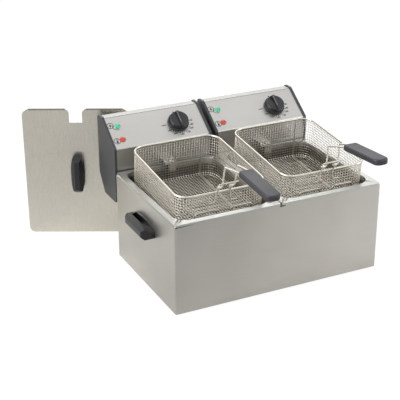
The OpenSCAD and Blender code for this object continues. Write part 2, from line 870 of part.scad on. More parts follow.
// The cord's gland: a nut inside, a neck through the sheet and a domed cap outside
module cable_gland() {
    color(black) translate([head_w - gland_in, head_back - cap_lip, service_z])
        rotate([-90, 0, 0]) difference() {
            union() {
                translate([0, 0, -head_sheet - 5]) cylinder(d = 24, h = 5, $fn = 6);
                translate([0, 0, -head_sheet - eps]) cylinder(d = gland_neck, h = head_sheet + 2);
                cylinder(d = 25, h = 5, $fn = 6);
                translate([0, 0, 5 - eps]) cylinder(d1 = 21, d2 = 14, h = gland_out - 5);
            }
            translate([0, 0, -20]) cylinder(d = gland_bore, h = 60);
        }
}

// ---- Baskets ----

// A basket's own frame has its origin on the front rim and Y along the rim's plane
module at_basket(side) {
    at_tank(side) translate([0, basket_y, basket_z]) rotate([basket_tilt, 0, 0]) children();
}

// The middles of the whole squares that fit along a length
function squares(length) =
    let (n = round(length / mesh_pitch))
    [for (i = [0:n - 1]) (i + 0.5 - n / 2) * length / n];

// The side of one opening along a length
function opening(length) = length / round(length / mesh_pitch) - mesh_bar;

// The mesh: one skin, with every opening cut straight through it
module basket_mesh() {
    straight_x = basket_w - 2 * basket_r;
    straight_y = basket_l - 2 * basket_r;
    wall_h = basket_h - 2 * mesh_bar;
    bottom_x = basket_w - 2 * mesh_bar;
    bottom_y = basket_l - 2 * mesh_bar;
    through = basket_r + 2 * mesh_bar;
    color(wire_steel) translate([0, basket_l / 2, -basket_h]) difference() {
        rounded_block(basket_w + mesh_bar, basket_l + mesh_bar, basket_h, basket_r + mesh_bar / 2);
        translate([0, 0, mesh_bar])
            rounded_block(basket_w - mesh_bar, basket_l - mesh_bar, basket_h, basket_r - mesh_bar / 2);
        for (z = squares(wall_h)) translate([0, 0, basket_h / 2 + z]) {
            for (x = squares(straight_x)) translate([x, 0, 0])
                cube([opening(straight_x), 2 * basket_l, opening(wall_h)], center = true);
            for (y = squares(straight_y)) translate([0, y, 0])
                cube([2 * basket_w, opening(straight_y), opening(wall_h)], center = true);
            for (x = [-1, 1], y = [-1, 1], a = [25, 65])
                translate([x * straight_x / 2, y * straight_y / 2, 0])
                    rotate([0, 0, atan2(y * sin(a), x * cos(a))]) translate([through / 2, 0, 0])
                        cube([through, basket_r * 0.6, opening(wall_h)], center = true);
        }
        intersection() {
            translate([0, 0, -mesh_bar]) rounded_block(basket_w - 2 * mesh_bar, basket_l - 2 * mesh_bar,
                3 * mesh_bar, basket_r - mesh_bar);
            for (x = squares(bottom_x), y = squares(bottom_y)) translate([x, y, 0])
                cube([opening(bottom_x), opening(bottom_y), 4 * mesh_bar], center = true);
        }
    }
}

module rim_ring() {
    straight_x = basket_w / 2 - basket_r;
    straight_y = basket_l / 2 - basket_r;
    seat_x = straight_x + bend_seat;
    seat_y = straight_y + bend_seat;
    for (y = [-1, 1])
        rod([-seat_x, y * basket_l / 2, 0], [seat_x, y * basket_l / 2, 0], rim_d);
    for (x = [-1, 1]) {
        rod([x * basket_w / 2, -seat_y, 0], [x * basket_w / 2, seat_y, 0], rim_d);
        for (y = [-1, 1])
            translate([x * straight_x, y * straight_y, 0])
                rotate([0, 0, x > 0 ? (y > 0 ? 0 : 270) : (y > 0 ? 90 : 180)])
                    rotate_extrude(angle = 90) translate([basket_r, 0]) circle(d = rim_d - bend_thin);
    }
}

// A place in a tank's frame, seen from its basket's tilted frame
function in_basket(p) = [
    p.x,
    (p.y - basket_y) * cos(basket_tilt) + (p.z - basket_z) * sin(basket_tilt),
    (p.z - basket_z) * cos(basket_tilt) - (p.y - basket_y) * sin(basket_tilt)
];

// The wires that stiffen the mesh: a rim, two runners that end in arches on the front wall,
// the eyes and the stop for the handle, and a hook that hangs on the element's channel
module basket_frame(droop) {
    under = -basket_h - runner_out + mesh_bar / 2;
    front = -runner_out;
    rear = basket_l + runner_out;
    beside_rim = (rim_d + frame_d) / 2 - 0.3;
    arch_z = under + 64;
    foot_z = -24;
    bar_z = pivot_z + 10;
    stop = (handle_d + frame_d) / 2 + rest_gap;
    bar_y = pivot_y - 10 * tan(droop) - stop / cos(droop);
    hook_end = in_basket([8, leg_y + 2, stem_top + rest_gap + frame_d / 2]);
    hook_y = basket_l + beside_rim;
    hook_z = hook_end.z + (hook_end.y - hook_y) * tan(basket_tilt);
    color(wire_steel) {
        translate([0, basket_l / 2, 0]) rim_ring();
        for (x = [-1, 1])
            wire([
                [x * runner_x, rear, 0], [x * runner_x, rear, under], [x * runner_x, front, under],
                [x * (runner_x - 6), front, arch_z], [x * 18, front, arch_z], [x * 12, front, under + 3]
            ], frame_d, 7);
        for (i = [0, 1]) {
            out = i == 0 ? -1 : 1;
            wire([
                [eye_x[i] + out * 20, front, foot_z], [eye_x[i] + out * 5, front, foot_z],
                [eye_x[i] + out, -beside_rim, 0], [eye_x[i], pivot_y, pivot_z - eye_r]
            ], frame_d, 4);
            translate([eye_x[i], pivot_y, pivot_z]) rotate([0, 90, 0])
                rotate_extrude() translate([eye_r, 0]) circle(d = eye_d);
        }
        wire([
            [eye_x[0], pivot_y, pivot_z + eye_r], [eye_x[0], bar_y, bar_z], [riser_x[1] + 7, bar_y, bar_z]
        ], frame_d, 3.5);
        rod([eye_x[1], pivot_y, pivot_z + eye_r], [eye_x[1], bar_y, bar_z], frame_d - 0.4);
        wire([
            [-8, hook_y, 0], [-8, hook_y, hook_z], [-8, hook_end.y, hook_end.z],
            [8, hook_end.y, hook_end.z], [8, hook_y, hook_z], [8, hook_y, 0]
        ], frame_d, 3);
    }
}

// The handle's own frame has its origin between the eyes, with X along the hinge
module at_handle(side, droop) {
    at_basket(side) translate([0, pivot_y, pivot_z]) rotate([droop, 0, 0]) children();
}

grip_start = [
    -handle_reach * cos(handle_climb),
    handle_rise + handle_reach * sin(handle_climb)
];
grip_mid = (riser_x[0] + riser_x[1]) / 2;
grip_wires = 12;
grip_x = [grip_mid - grip_wires, grip_mid + grip_wires];

module handle_wires() {
    tail = 36;
    end = grip_start + tail * [-cos(grip_climb), sin(grip_climb)];
    color(wire_steel) for (i = [0, 1])
        wire([
            [eye_x[i] - 5, 0, 0], [riser_x[i], 0, 0], [riser_x[i], 0, handle_rise],
            [grip_x[i], grip_start.x, grip_start.y], [grip_x[i], end.x, end.y]
        ], handle_d, 4);
}

module grip() {
    nose = 14;
    outline = [
        [-grip_w / 2, 0], [grip_w / 2, 0], [grip_w / 2, grip_l - nose], [grip_w / 2 - nose, grip_l],
        [nose - grip_w / 2, grip_l], [-grip_w / 2, grip_l - nose]
    ];
    color(grip_grey) translate([grip_mid, grip_start.x, grip_start.y]) rotate([-grip_climb, 0, 0])
        difference() {
            translate([0, 0, -grip_t / 2]) linear_extrude(grip_t)
                polygon([for (p = rounded(outline, [4, 4, 10, 7, 7, 10])) [p.x, -p.y]]);
            for (x = [-grip_wires, grip_wires])
                translate([x, 1, 0]) rotate([90, 0, 0])
                    cylinder(d = handle_d + 2 * touch_gap, h = 40);
        }
}

// ---- Lid ----

// The lid stands on its front edge with its handle to the front. X runs along the sheet from its
// near end, and -Y is the face that carries the handle.
module at_lid() {
    translate([lid_x - pitch, head_back + rest_gap, 0]) rotate([0, 0, -lid_turn]) children();
}

module lid_plate() {
    shoulder = 10;
    half = lid_w / 2;
    sheet_outline = [
        [-half, 0], [half, 0], [half, lid_l], [notch_w / 2, lid_l], [notch_w / 2, lid_l - notch_l],
        [-notch_w / 2, lid_l - notch_l], [-notch_w / 2, lid_l], [-half, lid_l]
    ];
    fold_l = half - notch_w / 2 - shoulder - lid_r;
    color(steel_side) at_lid() translate([-half, 0, 0]) difference() {
        union() {
            rotate([90, 0, 0]) translate([0, 0, -lid_sheet]) linear_extrude(lid_sheet)
                polygon(rounded(sheet_outline, [lid_r, lid_r, lid_r, shoulder, 0, 0, shoulder, lid_r]));
            translate([lid_r - half, 0, 0]) cube([lid_w - 2 * lid_r, lid_fold, lid_sheet]);
            for (x = [-1, 1])
                translate([x * (half - lid_r - fold_l / 2) - fold_l / 2, 0, lid_l - lid_sheet])
                    cube([fold_l, lid_fold, lid_sheet]);
        }
        for (z = [-1, 1])
            translate([0, -1, lid_l / 2 + z * bow_screw_y]) rotate([-90, 0, 0])
                cylinder(d = screw_d, h = 10);
    }
}

module lid_handle() {
    color(black) at_lid() translate([-lid_w / 2, 0, lid_l / 2]) rotate([90, 90, 0]) bow_handle();
}

module lid_screws() {
    color(steel_light) at_lid() for (z = [-1, 1])
        translate([-lid_w / 2, 0, lid_l / 2 + z * bow_screw_y]) rotate([90, 0, 0]) bow_screw(lid_sheet);
}

place() casing();
place() base_plate();
place() feet();
place() foot_screws();
place() head_brackets();
place() side_handle(-1);  // side_handle_left
place() side_handle(1);  // side_handle_right
place() side_handle_screws();
place() at_tank(-1) tank();  // left_tank
place() at_tank(1) tank();  // right_tank
place() at_head(-1) head_cover(-1);  // left_head_cover
place() at_head(1) head_cover(1);  // right_head_cover
place() at_head(-1) head_back();  // left_head_back
place() at_head(1) head_back();  // right_head_back
place() at_head(-1) head_cap();  // left_head_cap_a
place() at_head(1) head_cap();  // right_head_cap_a
place() at_head(-1) head_cap_b();  // left_head_cap_b
place() at_head(1) head_cap_b();  // right_head_cap_b
place() at_head(-1) head_screws();  // left_head_screws
place() at_head(1) head_screws();  // right_head_screws
place() at_head(-1) knob();  // left_knob
place() at_head(1) knob();  // right_knob
place() at_head(-1) spindle();  // left_spindle
place() at_head(1) spindle();  // right_spindle
place() at_head(-1) thermostat();  // left_thermostat
place() at_head(1) thermostat();  // right_thermostat
place() at_head(-1) lamp(power_lamp_s, "#7FD8AE");  // left_power_lamp
place() at_head(1) lamp(power_lamp_s, "#7FD8AE");  // right_power_lamp
place() at_head(-1) lamp(heat_lamp_s, "#DC5233");  // left_heat_lamp
place() at_head(1) lamp(heat_lamp_s, "#DC5233");  // right_heat_lamp
place() at_tank(-1) element();  // left_element
place() at_tank(1) element();  // right_element
place() at_tank(-1) element_stem();  // left_element_stem
place() at_tank(1) element_stem();  // right_element_stem
place() at_tank(-1) element_brace();  // left_element_brace
place() at_tank(1) element_brace();  // right_element_brace
place() at_tank(-1) sensor();  // left_sensor
place() at_tank(1) sensor();  // right_sensor
place() at_head(-1) cutout();  // left_cutout
place() at_head(1) cutout();  // right_cutout
place() at_head(-1) reset_button();  // left_reset_button
place() at_head(1) reset_button();  // right_reset_button
place() at_head(-1) micro_switch();  // left_micro_switch
place() at_head(1) micro_switch();  // right_micro_switch
place() at_head(-1) terminals();  // left_terminals
place() at_head(1) terminals();  // right_terminals
place() at_head(-1) cable_gland();  // left_cable_gland
place() at_head(1) cable_gland();  // right_cable_gland
place() at_basket(-1) basket_mesh();  // left_basket_mesh
place() at_basket(1) basket_mesh();  // right_basket_mesh
place() at_basket(-1) basket_frame(handle_droop[0]);  // left_basket_frame
place() at_basket(1) basket_frame(handle_droop[1]);  // right_basket_frame
place() at_handle(-1, handle_droop[0]) handle_wires();  // left_handle_wires
place() at_handle(1, handle_droop[1]) handle_wires();  // right_handle_wires
place() at_handle(-1, handle_droop[0]) grip();  // left_grip
place() at_handle(1, handle_droop[1]) grip();  // right_grip
place() lid_plate();
place() lid_handle();
place() lid_screws();
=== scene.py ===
import json
import math
import bpy
import bmesh
from mathutils import Matrix, Vector


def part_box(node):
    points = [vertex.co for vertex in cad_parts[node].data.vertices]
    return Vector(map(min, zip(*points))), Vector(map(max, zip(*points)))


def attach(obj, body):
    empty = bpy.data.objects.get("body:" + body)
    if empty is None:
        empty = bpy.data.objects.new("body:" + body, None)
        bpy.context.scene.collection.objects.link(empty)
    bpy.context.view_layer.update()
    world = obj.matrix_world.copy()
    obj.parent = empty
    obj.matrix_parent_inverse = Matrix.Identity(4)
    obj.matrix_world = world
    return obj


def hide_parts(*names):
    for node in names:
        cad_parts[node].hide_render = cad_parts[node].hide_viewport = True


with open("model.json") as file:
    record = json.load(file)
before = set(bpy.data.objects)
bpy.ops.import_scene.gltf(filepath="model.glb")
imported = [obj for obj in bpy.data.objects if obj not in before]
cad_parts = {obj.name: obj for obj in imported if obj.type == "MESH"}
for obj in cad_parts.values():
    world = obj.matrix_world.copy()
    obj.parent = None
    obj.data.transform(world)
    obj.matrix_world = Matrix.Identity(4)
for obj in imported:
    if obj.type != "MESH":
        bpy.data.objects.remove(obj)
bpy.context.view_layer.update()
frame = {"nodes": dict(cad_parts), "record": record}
nodes = frame["nodes"]
mm = 0.001
sides = {"left": -1, "right": 1}

# The casing's middle on the floor: every piece below is placed from it, as the solids are.
casingLow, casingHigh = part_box("casing")
middle = Vector(((casingLow.x + casingHigh.x) / 2, (casingLow.y + casingHigh.y) / 2, 0))
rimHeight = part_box("left_tank")[1].z
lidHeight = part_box("lid_plate")[1].z
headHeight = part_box("left_head_cover")[1].z


# An sRGB hex colour as linear values, which is what the shaders work in.
def linear(hexColour):
    channels = [int(hexColour[i:i + 2], 16) / 255 for i in (1, 3, 5)]
    return [c / 12.92 if c <= 0.04045 else ((c + 0.055) / 1.055) ** 2.4 for c in channels] + [1]


def grey(v):
    return [v, v, v, 1]


def addNode(tree, kind, settings=None, links=None):
    node = tree.nodes.new(kind)
    for key, value in (settings or {}).items():
        if key == "stops":
            for element, (place, colour) in zip(node.color_ramp.elements, value):
                element.position, element.color = place, linear(colour)
        elif isinstance(key, str) and hasattr(node, key):
            setattr(node, key, value)
        else:
            node.inputs[key].default_value = value
    for key, source in (links or {}).items():
        tree.links.new(source, node.inputs[key])
    return node


def newMaterial(name):
    material = bpy.data.materials.new(name)
    material.use_nodes = True
    material.node_tree.nodes.clear()
    return material, material.node_tree


def finishMaterial(tree, shader):
    tree.links.new(shader.outputs[0], addNode(tree, "ShaderNodeOutputMaterial").inputs[0])


def banded(tree, place, base, bands):
    # another tone from one height on, such as the drawn pan's below the brushed flange
    for tone, full, none in bands:
        height = addNode(tree, "ShaderNodeSeparateXYZ", links={0: place.outputs["Object"]})
        plain = addNode(tree, "ShaderNodeMapRange", {"From Min": full, "From Max": none},
                        {"Value": height.outputs["Z"]})
        base = addNode(tree, "ShaderNodeMix", {"data_type": "RGBA", 6: linear(tone)},
                       {0: plain.outputs[0], 7: base}).outputs[2]
    return base


# In millimetres. A belt's scratch is about 0.2 wide and 40 long. It is drawn wider, or it wouldn't show.
scratch = {"width": 1.1, "length": 40, "drift": 180, "relief": 0.4}


def brushedSteel(name, colours, rough, alongAxis, depth=0.02, bands=()):
    # Stainless sheet finished with an abrasive belt: the scratches run one way, so the sheet looks
    # satin, its highlights are drawn out across them, and its tone drifts a little from place to place.
    material, tree = newMaterial(name)
    place = addNode(tree, "ShaderNodeTexCoord")
    scale = [1 / (scratch["width"] * mm)] * 3
    scale[alongAxis] = 1 / (scratch["length"] * mm)
    run = addNode(tree, "ShaderNodeMapping", {"Scale": scale}, {"Vector": place.outputs["Object"]})
    scratches = addNode(tree, "ShaderNodeTexNoise", {"Scale": 1.0, "Detail": 3.0, "Roughness": 0.6},
                        {"Vector": run.outputs[0]})
    drift = addNode(tree, "ShaderNodeTexNoise", {"Scale": 1 / (scratch["drift"] * mm), "Detail": 2.0},
                    {"Vector": place.outputs["Object"]})
    mixed = addNode(tree, "ShaderNodeMath", {"operation": "MULTIPLY_ADD", 1: 0.6},
                    {0: scratches.outputs[0], 2: drift.outputs[0]})
    tint = addNode(tree, "ShaderNodeValToRGB", {"stops": [(0.5, colours[1]), (1.0, colours[0])]},
                   {"Fac": mixed.outputs[0]})
    base = banded(tree, place, tint.outputs[0], bands)
    gloss = addNode(tree, "ShaderNodeMapRange", {"From Min": 0.3, "From Max": 0.7, "To Min": rough - 0.05,
                                                "To Max": rough + 0.07}, {"Value": scratches.outputs[0]})
    relief = addNode(tree, "ShaderNodeBump", {"Strength": depth, "Distance": scratch["relief"] * mm},
                     {"Height": scratches.outputs[0]})
    finishMaterial(tree, addNode(tree, "ShaderNodeBsdfPrincipled", {"Metallic": 1.0},
                                 {"Base Color": base, "Roughness": gloss.outputs[0], "Normal": relief.outputs[0]}))
    return material


def platedMetal(name, colours, rough, blotch=4, depth=0.02, bands=()):
    # Wire and small steel parts plated in a bath: even and bright, with faint cloudy patches and no grain.
    material, tree = newMaterial(name)
    place = addNode(tree, "ShaderNodeTexCoord")
    cloud = addNode(tree, "ShaderNodeTexNoise", {"Scale": 1 / (blotch * mm), "Detail": 2.0},
                    {"Vector": place.outputs["Object"]})
    tint = addNode(tree, "ShaderNodeValToRGB", {"stops": [(0.35, colours[1]), (0.65, colours[0])]},
                   {"Fac": cloud.outputs[0]})
    gloss = addNode(tree, "ShaderNodeMapRange", {"From Min": 0.3, "From Max": 0.7, "To Min": rough - 0.04,
                                                "To Max": rough + 0.06}, {"Value": cloud.outputs[0]})
    relief = addNode(tree, "ShaderNodeBump", {"Strength": depth, "Distance": 0.2 * mm}, {"Height": cloud.outputs[0]})
    finishMaterial(tree, addNode(tree, "ShaderNodeBsdfPrincipled", {"Metallic": 1.0},
                                 {"Base Color": banded(tree, place, tint.outputs[0], bands),
                                  "Roughness": gloss.outputs[0], "Normal": relief.outputs[0]}))
    return material


def mouldedPlastic(name, colours, rough, grain=1.1, depth=0.12, ior=1.5):
    # Injection or compression moulding from a spark-eroded tool: matt, with a fine even grain
    # and a slightly uneven sheen where the skin cooled at different speeds.
    material, tree = newMaterial(name)
    place = addNode(tree, "ShaderNodeTexCoord")
    # The real grain is about 0.1 mm. It is drawn coarser, or it wouldn't show.
    skin = addNode(tree, "ShaderNodeTexNoise", {"Scale": 1 / (grain * mm), "Detail": 2.0},
                   {"Vector": place.outputs["Object"]})
    sheen = addNode(tree, "ShaderNodeTexNoise", {"Scale": 1 / (90 * mm), "Detail": 3.0},
                    {"Vector": place.outputs["Object"]})
    tint = addNode(tree, "ShaderNodeValToRGB", {"stops": [(0.35, colours[1]), (0.65, colours[0])]},
                   {"Fac": sheen.outputs[0]})
    gloss = addNode(tree, "ShaderNodeMapRange", {"From Min": 0.3, "From Max": 0.7, "To Min": rough - 0.05,
                                                "To Max": rough + 0.08}, {"Value": sheen.outputs[0]})
    relief = addNode(tree, "ShaderNodeBump", {"Strength": depth, "Distance": 0.2 * mm}, {"Height": skin.outputs[0]})
    finishMaterial(tree, addNode(tree, "ShaderNodeBsdfPrincipled", {"IOR": ior},
                                 {"Base Color": tint.outputs[0], "Roughness": gloss.outputs[0],
                                  "Normal": relief.outputs[0]}))
    return material


def tintedLens(name, colours):
    # Moulded polycarbonate lens: glossy outside, and the prisms inside it break its colour up.
    material, tree = newMaterial(name)
    place = addNode(tree, "ShaderNodeTexCoord")
    prisms = addNode(tree, "ShaderNodeTexVoronoi", {"Scale": 1 / (2.6 * mm)}, {"Vector": place.outputs["Object"]})
    tint = addNode(tree, "ShaderNodeValToRGB", {"stops": [(0.1, colours[0]), (0.8, colours[1])]},
                   {"Fac": prisms.outputs["Distance"]})
    finishMaterial(tree, addNode(tree, "ShaderNodeBsdfPrincipled", {"IOR": 1.58, "Roughness": 0.18},
                                 {"Base Color": tint.outputs[0]}))
    return material


# Each band is a tone, the height where it is full and the height where it ends. The lid's folded edge
# is painted dark as shade. A head's flat top strip and the upright strip below its panel are toned down
# as painted shade, or the top would clip to white.
materials = {
    "casing": brushedSteel("beltBrushedStainlessCasing", ("#C6C3BC", "#BBB8B1"), 0.34, 0),
    "lid": brushedSteel("beltBrushedStainlessLid", ("#D3CFC4", "#CDC9BE"), 0.29, 2, 0.003,
                        [("#57524A", lidHeight - 0.8 * mm, lidHeight - 2 * mm)]),
    "panel": brushedSteel("fineBrushedStainlessPanel", ("#C8C7C4", "#BDBCB9"), 0.36, 0, 0.02,
                          [("#9C9B98", headHeight - 1.3 * mm, headHeight - 1.8 * mm),
                           ("#ACABA8", headHeight - 58 * mm, headHeight - 56 * mm)]),
    # the drawn pan is darker inside below its rim: partly oil stain, partly painted shade
    "tank": brushedSteel("drawnStainlessTank", ("#BFBFBB", "#BABAB5"), 0.34, 0, 0.003,
                         [("#7C756A", rimHeight - 14 * mm, rimHeight - 7 * mm)]),
    "tankOutside": brushedSteel("drawnStainlessOutside", ("#BFBFBB", "#BABAB5"), 0.38, 0, 0.003),
    # the stem is darker below the rim, down in the tank: painted shade
    "channel": brushedSteel("foldedStainlessChannel", ("#D8D8D4", "#CFCEC9"), 0.26, 2, 0.006,
                            [("#7F7A70", rimHeight - 14 * mm, rimHeight - 7 * mm)]),
    "zinc": platedMetal("zincPlatedSteel", ("#B4B5B2", "#A2A39F"), 0.40, 9),
    "wire": platedMetal("nickelPlatedWire", ("#EEEBE2", "#E2DED4"), 0.28),
    "rimWire": platedMetal("fryWornNickelWire", ("#CECAC1", "#C2BDB3"), 0.32),
    # the walls' wire is toned down, because it catches the most light, and the floor's is left bright
    "mesh": platedMetal("tinnedMeshWire", ("#EEE8DC", "#E3DDD1"), 0.34, 4, 0.02,
                        [("#A9A499", rimHeight - 22 * mm, rimHeight - 28 * mm)]),
    "element": platedMetal("heatStainedSheath", ("#7B7166", "#5C5147"), 0.36, 12, 0.04),
    "cap": mouldedPlastic("mouldedGreyAbs", ("#393A3C", "#333436"), 0.46),
    "black": mouldedPlastic("mouldedBlackPhenolic", ("#131417", "#0E0F12"), 0.30),
    "knob": mouldedPlastic("mouldedBlackDial", ("#292A2E", "#222326"), 0.38),
    "grip": mouldedPlastic("mouldedGreyGrip", ("#333438", "#2E2F33"), 0.46),
    "rubber": mouldedPlastic("mouldedRubberFoot", ("#1D1D1F", "#171718"), 0.75),
    "ceramic": mouldedPlastic("pressedSteatiteBlock", ("#DAD6CA", "#CFCABC"), 0.6),
    # painted shade: a near-black finish for each stem's left faces and the dark strip down each stem
    "paintedShade": mouldedPlastic("paintedShadeFilm", ("#25211D", "#1C1916"), 0.42),
    "red": mouldedPlastic("mouldedRedPin", ("#B4352C", "#A52D25"), 0.25),
    # ink for the print, and painted shade for the gaps under the tanks' lips
    "inkAndShade": mouldedPlastic("screenPrintedInkAndPaintedShade", ("#161616", "#101010"), 0.6),
    "coated": mouldedPlastic("powderCoatedSteel", ("#3E3F41", "#38393B"), 0.5),
    # a painted highlight: the pale line along the knob's pointer bar stands for its lit left edge
    "pale": mouldedPlastic("paintedHighlightLine", ("#9C9D9F", "#919294"), 0.5),
    "greenLens": tintedLens("mouldedGreenLens", ("#6FD2AB", "#3FAE85")),
    "redLens": tintedLens("mouldedRedLens", ("#DF5030", "#B03A20")),
}
print("materials", len(materials))

finishes = {
    "casing": "casing", "base_plate": "zinc", "feet": "rubber", "foot_screws": "zinc", "head_brackets": "zinc",
    "side_handle_left": "black", "side_handle_right": "black", "side_handle_screws": "zinc",
    "lid_plate": "lid", "lid_handle": "black", "lid_screws": "zinc",
}
finishesOfEachSide = {
    "tank": "tank", "head_cover": "panel", "head_back": "coated", "head_cap_a": "cap", "head_cap_b": "cap",
    "head_screws": "zinc", "knob": "knob", "spindle": "zinc", "thermostat": "zinc", "power_lamp": "greenLens",
    "heat_lamp": "redLens", "element": "element", "element_stem": "channel", "element_brace": "zinc",
    "sensor": "zinc", "cutout": "black", "reset_button": "red", "micro_switch": "black", "terminals": "ceramic",
    "cable_gland": "black", "basket_mesh": "mesh", "basket_frame": "rimWire", "handle_wires": "wire", "grip": "grip",
}
for side in sides:
    finishes.update({side + "_" + name: key for name, key in finishesOfEachSide.items()})
for node, key in finishes.items():
    nodes[node].data.materials.clear()
    nodes[node].data.materials.append(materials[key])
print("dressed", len(finishes), "solids")


def bodyOf(node):
    for body, members in frame["record"]["behaviour"]["bodies"].items():
        if node in members:
            return body


def meshObject(name, vertices, faces, material, smooth=True):
    mesh = bpy.data.meshes.new(name)
    mesh.from_pydata([tuple(v) for v in vertices], [], faces)
    mesh.validate()
    mesh.update()
    mesh.materials.append(material)
    for polygon in mesh.polygons:
        polygon.use_smooth = smooth
    piece = bpy.data.objects.new(name, mesh)
    bpy.context.scene.collection.objects.link(piece)
    return piece


# How far the edges of each pressed or moulded piece are eased, in millimetres, and in how many steps
eased = {
    "casing": (0, 0), "side_handle_left": (1.8, 3), "side_handle_right": (1.8, 3), "lid_handle": (1.8, 3),
    "lid_plate": (0.4, 2), "tank": (0, 0), "head_cover": (0.4, 2), "head_back": (0.4, 2),
    "head_cap_a": (2.2, 4), "head_cap_b": (2.2, 4),
    "knob": (0.5, 2), "element_stem": (0.4, 2),
}


# The caps' edges show narrower than the solids have them, so the sheets run a little further out.
cap = {"width": 10, "shown": 6, "headStart": {"left": -270, "right": 6}, "headWidth": 264}


def slimCaps(node, shape):
    side = node.split("_")[0]
    if node[len(side):] not in ("_head_cap_a", "_head_cap_b", "_head_cover", "_head_back"):
        return
    for vertex in shape.verts:
        x = (vertex.co.x - middle.x) / mm - cap["headStart"][side]
        for inwards, out in ((1, x), (-1, cap["headWidth"] - x)):
            if abs(out - cap["width"]) < 0.6:
                vertex.co.x -= inwards * (cap["width"] - cap["shown"]) * mm


# The bow handles: which way each stands out and runs, and its length against the solid's. Each has
# a thin barrel-shaped foot plate behind its finger gap, moulded in one with the bow.
lidTurn = math.radians(26)
bows = {
    "side_handle_left": {"out": (-1, 0, 0), "along": (0, 1, 0), "stretch": 1.07},
    "side_handle_right": {"out": (1, 0, 0), "along": (0, 1, 0), "stretch": 1.07},
    "lid_handle": {"out": (-math.sin(lidTurn), -math.cos(lidTurn), 0), "along": (0, 0, 1), "stretch": 0.90,
                   "narrow": 0.92},
}
footPlate = {"length": 118, "width": 36, "bulge": 350, "thick": 2.5, "steps": 24}


bowEnd = {"power": 6, "narrowest": 0.35}


def roundedEnd(t):
    return max(0.0, 1 - abs(t) ** bowEnd["power"]) ** 0.5


def shapeBow(node, shape):
    bow, plate = bows[node], footPlate
    out, along = Vector(bow["out"]), Vector(bow["along"])
    across = out.cross(along)
    half = plate["length"] / 2 * mm
    low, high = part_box(node)
    heart = (low + high) / 2
    foot = min((v.co - heart).dot(out) for v in shape.verts)
    for vertex in shape.verts:
        t, w = (vertex.co - heart).dot(along), (vertex.co - heart).dot(across)
        least = bowEnd["narrowest"]
        narrower = (least + (1 - least) * roundedEnd(min(1, abs(t) / half))) * bow.get("narrow", 1)
        vertex.co += along * t * (bow["stretch"] - 1) + across * w * (narrower - 1)
    rings = []
    for height in (0, plate["thick"]):
        rings.append([])
        for i in range(2 * plate["steps"]):
            turn = math.pi * i / plate["steps"]
            t = math.cos(turn)
            w = plate["width"] / 2 - (t * plate["length"] / 2) ** 2 / 2 / plate["bulge"]
            w *= math.copysign(roundedEnd(t), math.sin(turn)) * mm * bow.get("narrow", 1)
            rings[-1].append(shape.verts.new(heart + along * t * half * bow["stretch"] + across * w
                                             + out * (foot + height * mm)))
    shape.faces.new(rings[1])
    shape.faces.new(rings[0][::-1])
    for i, a in enumerate(rings[0]):
        j = (i + 1) % len(rings[0])
        shape.faces.new((a, rings[0][j], rings[1][j], rings[1][i]))
    bmesh.ops.recalc_face_normals(shape, faces=shape.faces)


# A face counts as turned one way from this cosine on, and a tank's outside starts so far under its rim.
wearAndShadeLimits = {"facing": 0.5, "underRim": 6}


def markedByUse(node, mesh):
    # a second finish on some faces: painted shade on each stem's left faces, and a clean outside for each tank
    if node.endswith("element_stem"):
        mesh.materials.append(materials["paintedShade"])
        for polygon in mesh.polygons:
            polygon.material_index = int(polygon.normal.x < -wearAndShadeLimits["facing"])
    if node.endswith("_tank"):
        # the darker band, partly oil stain and partly painted shade, is on the inside alone
        mesh.materials.append(materials["tankOutside"])
        low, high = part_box(node)
        for polygon in mesh.polygons:
            out = polygon.center - (low + high) / 2
            outwards = polygon.normal.x * out.x + polygon.normal.y * out.y > 0
            outwards = outwards or polygon.normal.z < -wearAndShadeLimits["facing"]
            polygon.material_index = int(outwards and polygon.center.z < rimHeight - wearAndShadeLimits["underRim"] * mm)


# Points nearer than weld are one, faces within flatWithin degrees are one, and an edge over sharpest is sharp.
easing = {"weld": 0.002, "flatWithin": 0.6, "sharpest": 32, "level": 0.999}


def softened(node, width, steps):
    shape = bmesh.new()
    shape.from_mesh(nodes[node].data)
    bmesh.ops.remove_doubles(shape, verts=shape.verts, dist=easing["weld"] * mm)
    if steps:
        bmesh.ops.dissolve_limit(shape, angle_limit=math.radians(easing["flatWithin"]), verts=shape.verts,
                                 edges=shape.edges)
    slimCaps(node, shape)
    if node in bows:
        shapeBow(node, shape)
    mesh = bpy.data.meshes.new(node + "_soft")
    shape.to_mesh(mesh)
    shape.free()
    mesh.materials.append(nodes[node].data.materials[0])
    for polygon in mesh.polygons:
        polygon.use_smooth = bool(steps) or abs(polygon.normal.z) < easing["level"]
    piece = bpy.data.objects.new(node + "_soft", mesh)
    bpy.context.scene.collection.objects.link(piece)
    mesh.set_sharp_from_angle(angle=math.radians(easing["sharpest"]))
    markedByUse(node, mesh)
    if steps:
        bevel = piece.modifiers.new("ease", "BEVEL")
        bevel.width = width * mm
        bevel.segments = steps
        bevel.limit_method = "ANGLE"
        bevel.angle_limit = math.radians(easing["sharpest"])
    piece.modifiers.new("normals", "WEIGHTED_NORMAL").keep_sharp = True
    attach(piece, bodyOf(node))
    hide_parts(node)


for name, (width, steps) in eased.items():
    for node in ([name] if name in nodes else [side + "_" + name for side in sides]):
        softened(node, width, steps)
print("eased", len(eased), "kinds of solid")


# A grip is a flat bar with rounded ends. The left handle is folded down a little further than the right.
grip = {"length": 130, "width": 35, "thick": 14, "turn": {"left": 4.6, "right": -3.4},
        "wireEnd": 6, "outerEnd": 13, "edge": 3.6, "steps": 6, "sharpest": 40}


